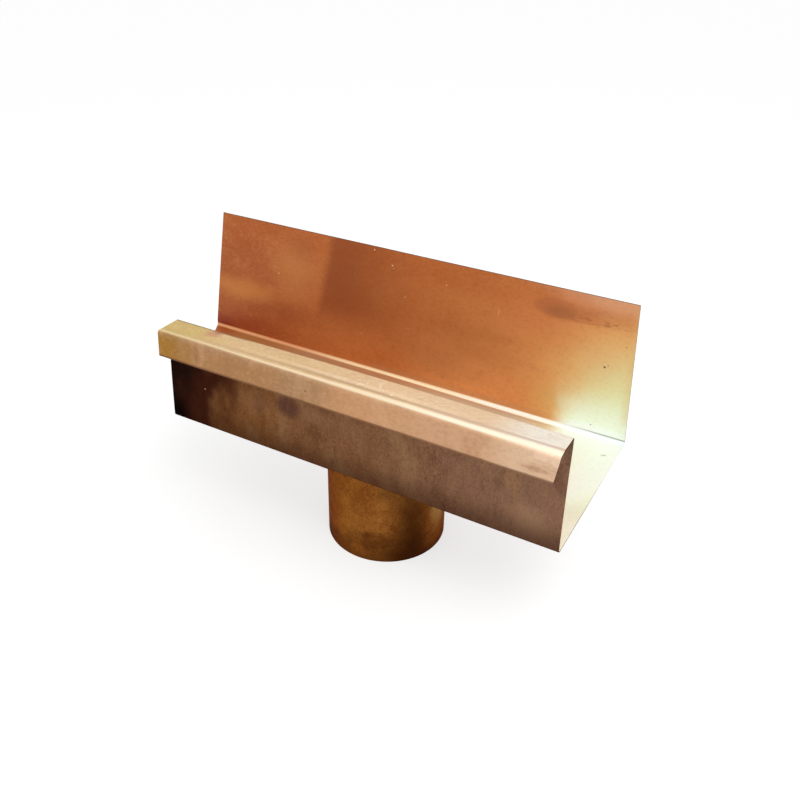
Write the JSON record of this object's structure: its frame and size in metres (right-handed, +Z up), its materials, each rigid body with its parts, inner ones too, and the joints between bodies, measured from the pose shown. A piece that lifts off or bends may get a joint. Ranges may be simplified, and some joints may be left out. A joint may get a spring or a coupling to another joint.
{
  "type": "box gutter running outlet",
  "caption": "Short open-ended copper box gutter with a tall back wall, a folded front bead, a round spigot soldered through its floor, and its left end cut on a slant.",
  "frame": {"origin": "centre of the spigot's lower rim", "axes": "+X along the gutter towards its square end, +Y from the front bead to the tall back wall, +Z up"},
  "size_m": [0.331, 0.1397, 0.177],
  "materials": {
    "trough_copper": "satin, lightly tarnished copper sheet",
    "spigot_copper": "dull brown mottled copper tube",
    "solder": "satin grey tin solder"
  },
  "bodies": {
    "root": {"gutter_trough": "trough_copper", "outlet_spigot": "spigot_copper", "solder_seam": "solder"}
  },
  "joints": []
}
